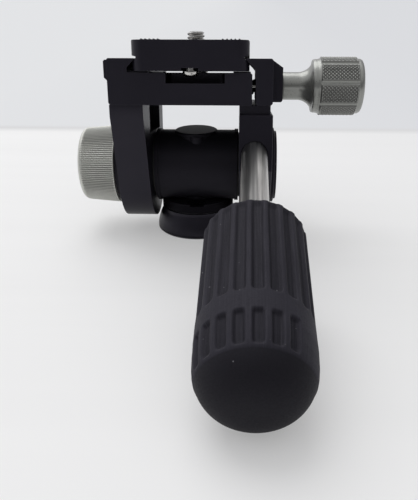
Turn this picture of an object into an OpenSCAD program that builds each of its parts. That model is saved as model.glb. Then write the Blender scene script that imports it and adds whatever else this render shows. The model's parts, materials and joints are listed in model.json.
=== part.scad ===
// Two-way panning and tilting camera head with a screw-knob dovetail clamp and a steering handle.
// The drum turns on the round base (pan), the yoke turns on the drum (tilt).
// X runs along the tilt axle, -Y is the handle's side, the origin is the middle of the base's underside.

/* [Base] */
// Diameter of the foot
foot_d = 32.4; // [30:0.2:40]
// Height of the fixed base up to the pan joint
base_h = 9.4; // [8.6:0.2:10.4]
// Diameter of the neck that turns on the base
neck_d = 28.2; // [26:0.2:29]
// Height of the tilt axle above the foot
axle_h = 25.3; // [25.2:0.1:32]
// Diameter of the pan spindle
spindle_d = 11; // [10.5:0.5:11.5]
// Bore of the tripod thread, 3/8 inch
tripod_bore_d = 7.94; // [6.35:0.01:7.94]
// Depth of the tripod thread
tripod_bore_depth = 10; // [6:0.5:11]

/* [Drum] */
// Diameter of the drum
drum_d = 26.8; // [25:0.2:28]
// Length of the drum
drum_len = 30.8; // [29:0.2:34]
// How far the drum's middle lies to the right of the pan axis
drum_shift = 0.6; // [0:0.1:1]
// Height of the rims at the drum's ends
drum_rim = 0.4; // [0.2:0.1:0.6]
// Diameter of the cap on top of the drum
cap_d = 16.3; // [16:0.1:17.6]
// Diameter of the tilt axle
axle_d = 10; // [9:0.5:10.5]

/* [Yoke] */
// Angle by which the yoke leans back at rest
rest_tilt = 7.7; // [0:0.1:15]
// Width of each arm
arm_t = 11.4; // [11:0.2:13]
// Diameter of the round lower end of each arm
arm_lobe_d = 35; // [33:0.5:36]
// Length of the platform, front to back
platform_len = 46.6; // [44:0.2:52]
// Middle of the platform, front to back, from the tilt axle
platform_y = -4.1; // [-5:0.1:-2]
// Height of the platform's underside above the tilt axle
platform_z = 23.95; // [23:0.05:26]
// Thickness of the platform under the channel
floor_t = 10.35; // [10:0.05:12]
// Height of the jaws above the channel's floor
jaw_h = 4.5; // [4.3:0.1:4.8]
// Thickness of the moving jaw
jaw_t = 5.7; // [5.4:0.1:7]
// Slit between the platform and the moving jaw when it is clamped
jaw_slit = 1.2; // [0.8:0.1:1.6]
// How far the moving jaw opens
jaw_open = 3; // [2:0.5:4]
// How far the side bosses stand out
boss_out = 3.8; // [3.2:0.1:4.2]
// Length of the side bosses, front to back
boss_len = 24; // [22:0.5:26]

/* [Plate] */
// Width of the quick-release plate
plate_w = 39; // [38:0.2:39.4]
// Length of the quick-release plate
plate_len = 50; // [48:1:60]
// Thickness of the quick-release plate
plate_t = 9.7; // [9.4:0.1:11]
// Gap between the plate and the channel's floor
plate_lift = 0.5; // [0.3:0.1:0.8]
// Diameter of the camera screw, 1/4 inch
camera_screw_d = 6.35; // [5:0.05:6.35]
// How far the camera screw stands out of the plate
camera_screw_out = 4.5; // [4:0.1:6]

/* [Knobs] */
// Diameter of the tilt lock knob
lock_knob_d = 28.8; // [27:0.2:30]
// Length of the tilt lock knob
lock_knob_len = 13.8; // [13.4:0.2:20]
// Thickness of the black ring behind the tilt lock knob
seat_t = 2.6; // [2.4:0.1:3.2]
// Thickness of the end cap on the other arm
end_cap_t = 2.4; // [2:0.1:3]
// Diameter of the clamp knob's grip
clamp_knob_d = 20.8; // [20:0.2:23]
// Length of the clamp knob's grip
clamp_knob_len = 12.2; // [11:0.2:15]
// Diameter of the clamp screw
clamp_screw_d = 5; // [4.5:0.5:5.5]

/* [Handle] */
// Diameter of the steel rod
rod_d = 8.9; // [8:0.1:9.4]
// Free length of the rod between the arm and the grip
rod_free = 47.7; // [44:0.1:52]
// Angle of the rod below the platform
rod_angle = 22.2; // [20:0.2:23]
// Height of the rod at the arm's front, above the tilt axle
rod_exit_z = 7.8; // [7.6:0.1:8.6]
// Diameter of the grip at its inner end
grip_d = 28.4; // [27:0.2:28.6]
// Diameter of the grip at its outer end
grip_end_d = 27.7; // [25:0.1:28.6]
// Length of the grip up to its domed end
grip_len = 43.5; // [42:0.5:44]
// Height of the grip's domed end
dome_h = 12.1; // [10:0.1:12.5]
// Number of flutes round the grip
flutes = 21; // [18:1:24]

/* [Hidden] */
$fn = 72;

// Clearances
run = 0.05;        // round running fits, on the radius
seat = 0.05;       // flat gaps between parts that slide or turn on each other
loose = 0.3;       // free gaps between moving parts
cut = 1;           // how far a cutting shape passes through a face

// Colours
black = [0.11, 0.11, 0.13];
dark = [0.07, 0.07, 0.08];
grey = [0.52, 0.52, 0.48];
steel = [0.72, 0.72, 0.72];
brass = [0.78, 0.62, 0.32];
rubber = [0.16, 0.16, 0.17];
plastic = [0.9, 0.9, 0.88];

// Pan joint
foot_edge = 0.5;
groove_z = 0.9;
groove_w = 0.35;
flare_z0 = 1.6;
flare_z1 = base_h - 1.2;
flare_power = 1.6;
flare_steps = 12;
washer_t = 0.55;
neck_z = base_h + washer_t + seat;
bush_h = 3.2;
bush_wall = 1.4;
shoulder_z = neck_z + bush_h;
shoulder_t = 1.2;
head_z = shoulder_z + shoulder_t + seat;
head_h = 5.1;
collar_d = cap_d - 1.1;
collar_wall = 1;
head_d = collar_d - 2 * collar_wall - 0.6;
shaft_d = head_d + 0.6;
flange_t = 3.4;                        // the neck's flange, under the drum
flange_z = neck_z + flange_t;
throat_d = shaft_d + 2.6;              // joins the flange to the drum round the spindle's head
drag_y = -11.05;                       // pan drag screw, upright in the flange
drag_d = 4;
spot_d = 7.6;
spot_depth = 0.7;
pad_t = 1;
lock_screw_d = 3;

// Drum and tilt axle
rim_w = 1.3;
bush_len = 7.4;
tilt_bush_wall = 2;
cap_t = 1.0;
cap_plug_t = 1.6;
cap_top = drum_d / 2 + 0.4;
cap_boss_d = 6;
cap_boss_y = -5.7;
axle_thread_d = axle_d - 2;
axle_head_d = 16;
axle_head_t = 3.2;
friction_t = 0.7;
arm_in = drum_len / 2 + friction_t + 2 * seat;
arm_out = arm_in + arm_t;
arm_mid = (arm_in + arm_out) / 2;

// Arms and platform, seen from the side
front_y = platform_y - platform_len / 2;
back_y = platform_y + platform_len / 2;
arm_front_y = front_y + 0.7;
arm_back_y = back_y - 1.8;
lobe_y = -1;
lobe_z = -2.1;
lobe = [lobe_y, lobe_z];
arm_straight = 4;
rod_face_y = front_y - 0.9;            // front of the right arm round the rod
rod_face_h = 5.6;
lobe_sink = 0.01;                      // the straight sides end this far inside the round end, so they cross it
band_h = 3.15;
band_side = 0.8;
band_back = 2;
pocket_w = 23;
pocket_depth = 3.2;
pocket_y = -2.5;
tongue_len = 8.2;
tongue_w = 7.6;
tongue_h = 5.4;
tongue_in = 4.75;                     // tongue's middle from the slit
tongue_y = 16;
arm_screw_d = 4;
arm_screw_head_d = 7.2;
arm_screw_head_t = 2.2;

// Clamp
floor_z = platform_z + floor_t;
jaw_top = floor_z + jaw_h;
plate_z = floor_z + plate_lift;
plate_top = plate_z + plate_t;
land_h = 2.4;                         // upright edge at the foot of the dovetail
waist_in = 1.8;                       // how far the dovetail's waist is cut in
side_gap = 0.15;                      // clearance beside the dovetail
waist_z = plate_z + land_h + waist_in;
slab_z = plate_z + 4.9;               // underside of the plate's upper slab
flank_x = plate_w / 2 + side_gap;      // the clamping flanks pass through this point at 45 degrees
flank_z = plate_z + land_h;
hook_x = flank_x - (jaw_top - flank_z);
undercut = 1.25;
floor_edge = plate_w / 2 + 0.95;
tongue_x = floor_edge - tongue_in;
jaw_in = floor_edge + jaw_slit;
jaw_out = jaw_in + jaw_t;
boss_chamfer = 2.7;
boss_rise = 4.85;
rail_in = 14.2;                       // the plate slides on rails beside the channel's middle
rail_back = 1.5;
boss_z = platform_z + boss_rise;
rail_z = plate_z - seat;
screw_z = platform_z + 5.8;
screw_y = platform_y;
pin_d = 4;
pin_dy = 7.5;
pin_in = 9;
pin_end_gap = 0.6;
spring_d = 5.6;
spring_wire = 0.7;
spring_turns = 4;
spring_seat = 7;
spring_bore_d = spring_d + 1.2;
channel_pocket_w = 19.6;
channel_pocket_x = 1.6;
channel_pocket_h = 3.4;
channel_pocket_len = 9;
channel_pocket_r = 2.5;
stop_bore_d = 8;
stop_bore_len = 5.6;
stop_t = 1.4;
body_edge = 0.6;

// Knobs
lock_in = arm_out + seat_t + 0.2;
lock_out = lock_in + lock_knob_len;
seat_recess_d = 21;
seat_recess_t = 1.7;
insert_d = 13;
insert_len = 11;
end_cap_step = 0.9;
cap_screw_head_d = 6;
cap_screw_head_t = 1.1;
lock_knob_taper = 1;
lock_knob_bevel_len = 1.5;
lock_knob_bevel = 2.4;
lock_cap_rim = 4.5;
lock_cap_t = 1.2;
lock_cap_gap = 0.1;
knob_washer_t = 0.7;
stem_d = 9.5;
stem_len = 7.3;
flare_len = 5.1;
knob_collar_d = clamp_knob_d - 2.2;
knob_collar_len = 2.5;
clamp_cap_t = 2;

// Plate
plate_y = front_y - 1 + plate_len / 2;
plate_corner = 4;
screw_head_d = 14;
screw_head_t = 2.6;
screw_recess_t = 3.5;
screw_slot_len = 12;
screw_lift = 0.1;
screw_shank_d = 5.2;
screw_washer_t = 0.7;
pad_in = 10.3;
pad_w = 6.2;
pad_depth = 0.8;
pad_margin = 3;
pad_gap = 0.02;
rib_h = 0.45;
rib_w = 0.7;
ribs = 5;
stop_screw_in = 3.4;
stop_neck_d = 3.4;
stop_head_d = 5.4;
stop_head_t = 1.7;
stop_notch_d = 8.8;
stop_notch_h = 1;
stop_len = 6;

// Handle
rod_in = 20;
rod_thread_len = 14;
rod_thread_d = 8;
rod_in_grip = 38;
core_wall = 2.4;
core_len = 40;
rod_side = 0.4;                       // how far the rod lies inside the arm's middle
flute_r = 1.5;
flute_depth = 0.8;
band_in = 5.2;                        // plain band between the flutes and the short grooves
band_w = 6;
band_z1 = grip_len - band_in;
band_z0 = band_z1 - band_w;
groove_len = 8.4;
first_flute = 88.1;                   // angle of the first flute, from the right
bare_first = 3;                       // short grooves left out on the right
bare_last = 6;
grip_edge = 1.2;
dome_steps = 12;

// Frames
module drum_frame() translate([drum_shift, 0, axle_h]) children();
module yoke_frame() drum_frame() rotate([-rest_tilt, 0, 0]) children();
module rod_frame() yoke_frame() translate([arm_mid - rod_side, front_y, rod_exit_z])
  rotate([90 + rod_angle, 0, 0]) children();

// Round bars and rings along X, and an outline in Y and Z drawn out along X
module bar_x(d, x0, x1) translate([x0, 0, 0]) rotate([0, 90, 0]) cylinder(d = d, h = x1 - x0);
module ring_x(d_out, d_in, x0, x1) difference() {
  bar_x(d_out, x0, x1);
  bar_x(d_in, x0 - cut, x1 + cut);
}
module side_outline(x0, x1) translate([x0, 0, 0]) rotate([90, 0, 90]) linear_extrude(x1 - x0) children();
module hex_x(d, x0, x1) translate([x0, 0, 0]) rotate([0, 90, 0]) cylinder(d = d, h = x1 - x0, $fn = 6);
module box(x, y, z) translate([x[0], y[0], z[0]]) cube([x[1] - x[0], y[1] - y[0], z[1] - z[0]]);

// The point where a line from p touches the circle round c; side picks which of the two
function touch(p, c, r, side) =
  let (d = p - c, a = atan2(d[1], d[0]) + side * acos(r / norm(d)))
  c + r * [cos(a), sin(a)];

// Base
function flare_r(t) = foot_d / 2 - (foot_d - neck_d) / 2 * pow(t, flare_power);
module base_disc() color(black) difference() {
  rotate_extrude() polygon(concat(
    [[0, 0], [foot_d / 2 - foot_edge, 0], [foot_d / 2, foot_edge], [foot_d / 2, flare_z0]],
    [for (i = [1:flare_steps]) let (t = i / flare_steps) [flare_r(t), flare_z0 + t * (flare_z1 - flare_z0)]],
    [[neck_d / 2, base_h], [0, base_h]]));
  rotate_extrude() translate([foot_d / 2 - groove_w, groove_z]) square([cut, groove_w]);
  translate([0, 0, -cut]) cylinder(d = spindle_d + 2 * run, h = base_h + 2 * cut);
  translate([0, foot_d, groove_z + 3]) rotate([90, 0, 0]) cylinder(d = lock_screw_d + 2 * run, h = foot_d);
}
module pan_spindle() color(steel) difference() {
  union() {
    cylinder(d = spindle_d, h = head_z);
    translate([0, 0, head_z]) cylinder(d = head_d, h = head_h);
  }
  translate([0, 0, -cut]) cylinder(d = tripod_bore_d, h = tripod_bore_depth + cut);
  translate([0, 0, head_z + head_h - 3]) cylinder(d = spindle_d / 2, h = 3 + cut, $fn = 6);
}
module spindle_lock_screw() color(dark) translate([0, spindle_d / 2 + run, groove_z + 3])
  rotate([-90, 0, 0]) difference() {
    cylinder(d = lock_screw_d, h = (foot_d - spindle_d) / 2 - 1);
    translate([0, 0, (foot_d - spindle_d) / 2 - 2.5]) cylinder(d = lock_screw_d / 2, h = 3, $fn = 6);
  }
module pan_friction_washer() color(dark) translate([0, 0, base_h]) difference() {
  cylinder(d = neck_d - 1.6, h = washer_t);
  translate([0, 0, -cut]) cylinder(d = spindle_d + 2 * loose, h = washer_t + 2 * cut);
}

// Drum
module drum_housing() color(dark) difference() {
  union() {
    translate([0, 0, neck_z]) cylinder(d = neck_d, h = flange_t);
    translate([0, 0, neck_z]) cylinder(d = throat_d, h = axle_h - neck_z);
    translate([0, 0, axle_h]) cylinder(d = collar_d, h = cap_top - cap_t);
    drum_frame() {
      bar_x(drum_d, -drum_len / 2, drum_len / 2);
      for (s = [-1, 1]) translate([s * (drum_len - rim_w) / 2, 0, 0])
        bar_x(drum_d + 2 * drum_rim, -rim_w / 2, rim_w / 2);
      translate([0, cap_boss_y, 0]) cylinder(d = cap_boss_d, h = cap_top - cap_t);
    }
  }
  translate([0, 0, neck_z - cut]) cylinder(d = spindle_d + 2 * bush_wall, h = bush_h + cut);
  translate([0, 0, neck_z]) cylinder(d = spindle_d + 2 * loose, h = drum_d);
  translate([0, 0, shoulder_z + shoulder_t]) cylinder(d = shaft_d, h = drum_d);
  drum_frame() {
    bar_x(axle_d + 2 * loose, -drum_len, drum_len);
    for (s = [-1, 1]) translate([s * drum_len / 2, 0, 0])
      bar_x(axle_d + 2 * tilt_bush_wall, -bush_len, bush_len);
  }
  translate([0, 0, axle_h + cap_top - cap_t]) cylinder(d = cap_d + 2 * seat, h = drum_d);
  translate([drum_shift, drag_y, 0]) {
    translate([0, 0, neck_z - cut]) cylinder(d = drag_d + 2 * run, h = flange_t + 2 * cut);
    translate([0, 0, flange_z - spot_depth]) cylinder(d = spot_d, h = spot_depth + 0.01);
  }
}
module pan_bush() color(brass) translate([0, 0, neck_z]) difference() {
  cylinder(d = spindle_d + 2 * bush_wall - 2 * 0.01, h = bush_h - 0.01);
  translate([0, 0, -cut]) cylinder(d = spindle_d + 2 * run, h = bush_h + 2 * cut);
}
module pan_drag_pad() color(brass) translate([drum_shift, drag_y, neck_z])
  cylinder(d = drag_d - 0.1, h = pad_t);
module pan_drag_screw() color(dark) translate([drum_shift, drag_y, neck_z + pad_t]) difference() {
  cylinder(d = drag_d, h = flange_t - pad_t - spot_depth);
  translate([0, 0, 0.6]) cylinder(d = drag_d / 2, h = flange_t, $fn = 6);
}
module drum_cap() color(black) translate([0, 0, axle_h + cap_top - cap_t]) {
  translate([0, 0, -cap_plug_t]) cylinder(d = shaft_d - 0.02, h = cap_plug_t);
  cylinder(d = cap_d, h = cap_t - 0.3);
  translate([0, 0, cap_t - 0.3]) cylinder(d1 = cap_d, d2 = cap_d - 1, h = 0.3);
}
module tilt_bushes() color(brass) drum_frame() for (s = [-1, 1])
  translate([s * (drum_len - bush_len) / 2, 0, 0])
    ring_x(axle_d + 2 * tilt_bush_wall - 0.02, axle_d + 2 * run, -bush_len / 2, bush_len / 2);

// Yoke
module arm_outline(front) {
  r = arm_lobe_d / 2 - lobe_sink;
  low_front = front[len(front) - 1];
  top_back = [arm_back_y, platform_z - arm_straight];
  translate(lobe) circle(d = arm_lobe_d);
  polygon(concat([[arm_front_y, platform_z]], front, [touch(low_front, lobe, r, 1), lobe,
    touch(top_back, lobe, r, -1), top_back, [arm_back_y, platform_z]]));
}
module arm_pocket(x0, x1) box([x0, x1], [pocket_y - pocket_w / 2, pocket_y + pocket_w / 2],
  [drum_d / 2, platform_z + cut]);
module tongues(side, grow) for (dy = [-tongue_y, tongue_y])
  translate([side * tongue_x, platform_y + dy, platform_z - grow])
    translate([-tongue_w / 2 - grow, -tongue_len / 2 - grow, 0])
      cube([tongue_w + 2 * grow, tongue_len + 2 * grow, tongue_h + 2 * grow]);
module arm_screw_holes(side) for (dy = [-tongue_y, tongue_y])
  translate([side * tongue_x, platform_y + dy, platform_z + 0.3])
    cylinder(d = arm_screw_d + 2 * run, h = floor_t);
module left_arm() color(black) yoke_frame() difference() {
  union() {
    difference() {
      side_outline(-arm_out, -arm_in) arm_outline([[arm_front_y, platform_z - arm_straight]]);
      arm_pocket(-arm_in - pocket_depth, -arm_in + cut);
    }
    tongues(-1, 0);
  }
  bar_x(axle_d + 2 * run, -arm_out - cut, -arm_in + cut);
  arm_screw_holes(-1);
}
module right_arm() color(black) difference() {
  yoke_frame() difference() {
    union() {
      side_outline(arm_in, arm_out) arm_outline([[arm_front_y, platform_z - arm_straight],
        [rod_face_y, rod_exit_z + rod_face_h], [rod_face_y, rod_exit_z - rod_face_h]]);
      tongues(1, 0);
    }
    bar_x(axle_d + 2 * run, arm_in - cut, arm_out + cut);
    hex_x(axle_head_d + 4 * run, arm_out - axle_head_t, arm_out + cut);
    box([arm_in - cut, arm_out + cut], [arm_front_y - cut, arm_front_y + band_back],
      [platform_z - band_h, platform_z + cut]);
    box([arm_out - band_side, arm_out + cut], [arm_front_y - cut, arm_back_y + cut],
      [platform_z - band_h, platform_z + cut]);
    arm_screw_holes(1);
  }
  rod_frame() {
    translate([0, 0, -rod_in + rod_thread_len]) cylinder(d = rod_d + 2 * run, h = rod_in);
    translate([0, 0, -rod_in - 0.5]) cylinder(d = rod_thread_d + 2 * run, h = rod_in);
  }
}
module arm_screws() color(dark) yoke_frame() for (side = [-1, 1], dy = [-tongue_y, tongue_y])
  translate([side * tongue_x, platform_y + dy, 0]) difference() {
    union() {
      translate([0, 0, platform_z + 0.4]) cylinder(d = arm_screw_d, h = floor_t - arm_screw_head_t - 0.6);
      translate([0, 0, floor_z - arm_screw_head_t - 0.2])
        cylinder(d1 = arm_screw_d, d2 = arm_screw_head_d - 0.2, h = arm_screw_head_t);
    }
    translate([0, 0, floor_z - 1.8]) cylinder(d = 2.8, h = 2, $fn = 6);
  }
module tilt_axle() color(steel) yoke_frame() {
  bar_x(axle_d, -arm_out + 2, arm_out - axle_head_t);
  bar_x(axle_thread_d, -lock_in - insert_len, -arm_out + 2);
  difference() {
    hex_x(axle_head_d, arm_out - axle_head_t, arm_out - 0.2);
    bar_x(lock_screw_d, arm_out - axle_head_t, arm_out);
  }
}
module tilt_friction_washers() color(plastic) yoke_frame() for (s = [-1, 1])
  translate([s * (drum_len / 2 + seat + friction_t / 2), 0, 0])
    ring_x(drum_d - 2, axle_d + 2 * loose, -friction_t / 2, friction_t / 2);
module end_cap() color(black) yoke_frame() difference() {
  union() {
    bar_x(lock_knob_d - 0.2, arm_out, arm_out + end_cap_t - end_cap_step);
    bar_x(lock_knob_d - 2.6, arm_out + end_cap_t - end_cap_step, arm_out + end_cap_t);
  }
  bar_x(lock_screw_d + 2 * run, arm_out - cut, arm_out + end_cap_t + cut);
  bar_x(cap_screw_head_d + 4 * run, arm_out + end_cap_t - cap_screw_head_t - 0.1, arm_out + end_cap_t + cut);
}
module end_cap_screw() color(steel) yoke_frame() difference() {
  union() {
    bar_x(lock_screw_d - 0.02, arm_out - 2.8, arm_out + end_cap_t - cap_screw_head_t - 0.1);
    bar_x(cap_screw_head_d, arm_out + end_cap_t - cap_screw_head_t - 0.1, arm_out + end_cap_t - 0.1);
  }
  hex_x(2.6, arm_out + end_cap_t - cap_screw_head_t + 0.1, arm_out + end_cap_t + cut);
}
module knob_seat_ring() color(dark) yoke_frame() difference() {
  bar_x(lock_knob_d - 0.4, -arm_out - seat_t, -arm_out);
  bar_x(axle_thread_d + 2 * loose, -arm_out - seat_t - cut, -arm_out + cut);
  bar_x(seat_recess_d, -arm_out - seat_t - cut, -arm_out - seat_t + seat_recess_t);
}
module spring_washers() color(steel) yoke_frame()
  translate([-arm_out - seat_t + seat_recess_t - 0.9, 0, 0]) rotate([0, 90, 0]) rotate_extrude()
    polygon([[axle_thread_d / 2 + loose, 0], [seat_recess_d / 2 - 1, 0.45], [seat_recess_d / 2 - 1, 0.9],
      [axle_thread_d / 2 + loose, 0.45]]);
module thrust_washer() color(brass) yoke_frame()
  ring_x(seat_recess_d - 0.6, axle_thread_d + 2 * loose, -lock_in + 0.02,
    -arm_out - seat_t + seat_recess_t - 0.92);

// Tilt lock knob
module tilt_lock_knob() color(grey) yoke_frame() difference() {
  translate([-lock_in, 0, 0]) rotate([0, -90, 0]) rotate_extrude() polygon([[0, 0], [lock_knob_d / 2, 0],
    [lock_knob_d / 2 - lock_knob_taper, lock_knob_len - lock_knob_bevel_len],
    [lock_knob_d / 2 - lock_knob_bevel, lock_knob_len], [0, lock_knob_len]]);
  bar_x(insert_d, -lock_in - insert_len - 1, -lock_in + cut);
  bar_x(lock_knob_d - 2 * lock_cap_rim, -lock_out - cut, -lock_out + lock_cap_t);
}
module tilt_knob_insert() color(brass) yoke_frame()
  ring_x(insert_d - 0.02, axle_thread_d + 2 * run, -lock_in - insert_len, -lock_in);
module tilt_knob_cap() color(black) yoke_frame()
  bar_x(lock_knob_d - 2 * lock_cap_rim - 2 * lock_cap_gap, -lock_out + lock_cap_gap, -lock_out + lock_cap_t);

// Clamp body: the platform with the fixed jaw
module clamp_outline() polygon([[-arm_out + body_edge, platform_z], [floor_edge, platform_z],
  [floor_edge, floor_z - 0.5], [floor_edge - 0.5, floor_z], [-flank_x - undercut, floor_z],
  [-flank_x - undercut, flank_z - undercut], [-hook_x - 0.2, jaw_top - 0.2],
  [-hook_x - 0.4, jaw_top], [-arm_out + body_edge, jaw_top], [-arm_out, jaw_top - body_edge],
  [-arm_out, platform_z + body_edge]]);
module channel_pocket(y, out) translate([channel_pocket_x, y, floor_z - channel_pocket_h]) {
  w = channel_pocket_w / 2;
  r = channel_pocket_r;
  box([-w, w], out > 0 ? [-channel_pocket_len + r, cut] : [-cut, channel_pocket_len - r], [0, jaw_h]);
  box([-w + r, w - r], out > 0 ? [-channel_pocket_len, 0] : [0, channel_pocket_len], [0, jaw_h]);
  for (s = [-1, 1]) translate([s * (w - r), -out * (channel_pocket_len - r), 0]) cylinder(r = r, h = jaw_h);
}
module clamp_body() color(black) yoke_frame() difference() {
  union() {
    translate([0, back_y, 0]) rotate([90, 0, 0]) linear_extrude(platform_len) clamp_outline();
    translate([0, platform_y + boss_len / 2, 0]) rotate([90, 0, 0]) linear_extrude(boss_len)
      polygon([[-arm_out + cut, boss_z - cut], [-arm_out, boss_z], [-arm_out - boss_out, boss_z + boss_out],
        [-arm_out - boss_out, jaw_top - 0.8], [-arm_out - boss_out + 0.5, jaw_top - 0.3],
        [-arm_out + cut, jaw_top - 0.3]]);
    for (x = [[-flank_x - undercut - cut, -rail_in], [rail_in, floor_edge - 0.5]])
      box(x, [front_y + rail_back, back_y - rail_back], [floor_z - cut, rail_z]);
  }
  channel_pocket(front_y, -1);
  channel_pocket(back_y, 1);
  tongues(-1, seat);
  tongues(1, seat);
  for (side = [-1, 1], dy = [-tongue_y, tongue_y]) translate([side * tongue_x, platform_y + dy, 0]) {
    translate([0, 0, platform_z + 1]) cylinder(d = arm_screw_d + 2 * run, h = floor_t);
    translate([0, 0, floor_z - arm_screw_head_t - 0.2])
      cylinder(d1 = arm_screw_d + 2 * run, d2 = arm_screw_head_d, h = arm_screw_head_t);
    translate([0, 0, floor_z - 0.21]) cylinder(d = arm_screw_head_d, h = cut);
  }
  translate([0, screw_y, screw_z]) {
    bar_x(clamp_screw_d + 2 * run, -arm_out - boss_out - cut, arm_out);
    bar_x(stop_bore_d, -arm_out - boss_out - cut, -arm_out + stop_bore_len);
    for (dy = [-pin_dy, pin_dy]) translate([0, dy, 0]) {
      bar_x(pin_d, floor_edge - pin_in, arm_out);
      bar_x(spring_bore_d, floor_edge - spring_seat, arm_out);
    }
  }
}
module guide_pins() color(steel) yoke_frame() translate([0, screw_y, screw_z]) for (dy = [-pin_dy, pin_dy])
  translate([0, dy, 0]) bar_x(pin_d - 0.02, floor_edge - pin_in + 0.02, jaw_out + boss_out - 2 * pin_end_gap);

// A coil spring along X, one sided strip of rings joined point to point
module coil_x(d, wire, turns, length) {
  sides = 6;
  steps = 12;
  count = turns * steps;
  ring = [for (i = [0:count]) let (a = 360 * i / steps) [for (k = [0:sides - 1]) let (b = 360 * k / sides)
    [wire / 2 + (length - wire) * i / count + wire / 2 * sin(b),
      (d / 2 - wire / 2 + wire / 2 * cos(b)) * cos(a), (d / 2 - wire / 2 + wire / 2 * cos(b)) * sin(a)]]];
  polyhedron([for (r = ring) each r], concat(
    [[for (k = [0:sides - 1]) k]],
    [for (i = [0:count - 1], k = [0:sides - 1]) let (m = (k + 1) % sides)
      [i * sides + m, i * sides + k, (i + 1) * sides + k, (i + 1) * sides + m]],
    [[for (k = [sides - 1:-1:0]) count * sides + k]]));
}
module jaw_springs() color(steel) yoke_frame() translate([floor_edge - spring_seat + 0.1, screw_y, screw_z])
  for (dy = [-pin_dy, pin_dy]) translate([0, dy, 0])
    coil_x(spring_d, spring_wire, spring_turns, spring_seat + jaw_slit - 0.3);

// Moving jaw
module clamp_jaw() color(black) yoke_frame() difference() {
  union() {
    translate([0, back_y, 0]) rotate([90, 0, 0]) linear_extrude(platform_len)
      polygon([[jaw_in, platform_z + body_edge], [jaw_in + body_edge, platform_z + seat],
        [jaw_out - body_edge, platform_z + seat], [jaw_out, platform_z + body_edge],
        [jaw_out, jaw_top - body_edge], [jaw_out - body_edge, jaw_top],
        [hook_x + 0.4, jaw_top], [hook_x + 0.2, jaw_top - 0.2],
        [flank_x + 1.5, flank_z - 1.5], [jaw_in, flank_z - 2.2]]);
    translate([0, platform_y + boss_len / 2, 0]) rotate([90, 0, 0]) linear_extrude(boss_len)
      polygon([[jaw_out - cut, platform_z + 0.6], [jaw_out + boss_out - 0.5, platform_z + 0.6],
        [jaw_out + boss_out, platform_z + 1.1], [jaw_out + boss_out, jaw_top - boss_chamfer],
        [jaw_out, jaw_top - 0.1], [jaw_out - cut, jaw_top - 0.1]]);
  }
  translate([0, screw_y, screw_z]) {
    bar_x(clamp_screw_d + 2 * loose, 0, jaw_out + boss_out + cut);
    bar_x(stem_d + 0.4, jaw_out + boss_out - knob_washer_t - 0.02, jaw_out + boss_out + cut);
    for (dy = [-pin_dy, pin_dy]) translate([0, dy, 0])
      bar_x(pin_d + 2 * run, 0, jaw_out + boss_out - pin_end_gap);
  }
}

// Clamp knob: it turns on the jaw and draws the jaw along with its screw
stem_x = jaw_out + boss_out + seat;
flare_x = stem_x + stem_len;
collar_x = flare_x + flare_len;
grip_x = collar_x + knob_collar_len;
cap_x = grip_x + clamp_knob_len;
stop_x = -arm_out + stop_bore_len - jaw_open - stop_t - 0.1;
module knob_frame() yoke_frame() translate([0, screw_y, screw_z]) children();
module clamp_screw() color(steel) knob_frame()
  bar_x(clamp_screw_d, stop_x, grip_x);
module clamp_screw_stop() color(steel) knob_frame()
  ring_x(stop_bore_d - 1, clamp_screw_d, stop_x, stop_x + stop_t);
module knob_washer() color(brass) knob_frame()
  ring_x(stem_d, clamp_screw_d + 2 * run, jaw_out + boss_out - knob_washer_t, stem_x - 0.02);
module clamp_knob() color(grey) knob_frame() difference() {
  union() {
    bar_x(stem_d, stem_x, flare_x + cut);
    translate([flare_x, 0, 0]) rotate([0, 90, 0]) rotate_extrude() polygon([[0, 0], [stem_d / 2, 0],
      [stem_d / 2 + 0.5, flare_len * 0.42], [knob_collar_d / 2 - 1.9, flare_len * 0.86],
      [knob_collar_d / 2, flare_len], [knob_collar_d / 2, flare_len + knob_collar_len],
      [0, flare_len + knob_collar_len]]);
    bar_x(clamp_knob_d, grip_x, cap_x);
  }
  bar_x(clamp_screw_d, stem_x - cut, grip_x);
}
module clamp_knob_cap() color(grey) knob_frame() {
  bar_x(clamp_knob_d - 1, cap_x, cap_x + clamp_cap_t - 1);
  translate([cap_x + clamp_cap_t - 1, 0, 0]) rotate([0, 90, 0])
    cylinder(d1 = clamp_knob_d - 1, d2 = clamp_knob_d - 3.4, h = 1);
}

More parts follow.
